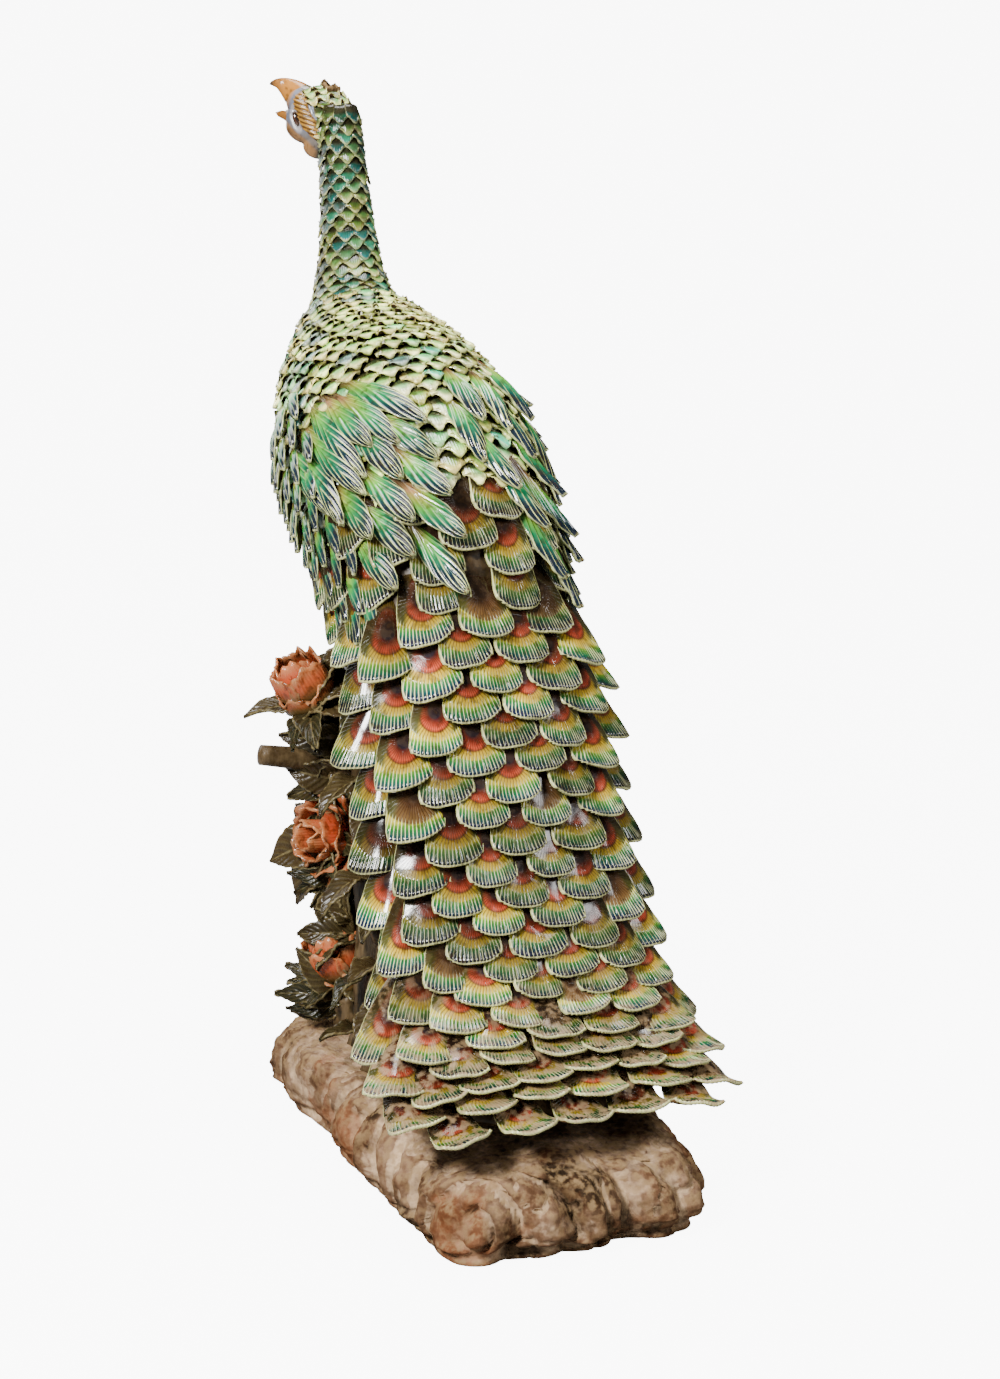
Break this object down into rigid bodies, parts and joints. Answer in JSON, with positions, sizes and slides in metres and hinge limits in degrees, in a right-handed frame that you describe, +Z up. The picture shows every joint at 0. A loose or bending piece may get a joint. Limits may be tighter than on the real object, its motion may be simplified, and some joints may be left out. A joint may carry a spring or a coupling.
{
  "type": "peacock figurine",
  "caption": "Large glazed peacock figure, fired in one piece, standing on a rose-grown stump with its long train laid down to a rock slab.",
  "frame": {"origin": "on the flat underside of the rock, near its middle", "axes": "+Z up; the bird faces -Y and its train runs down behind it to +Y; the bird's left side, to which its head turns, is +X"},
  "size_m": [0.3959, 0.8099, 1.2131],
  "materials": {
    "glazed_earthenware": "glazed earthenware: green, teal, yellow and coral majolica glazes over brown clay, matte on the rock"
  },
  "bodies": {
    "root": {"peacock_figure": "glazed_earthenware"}
  },
  "joints": []
}
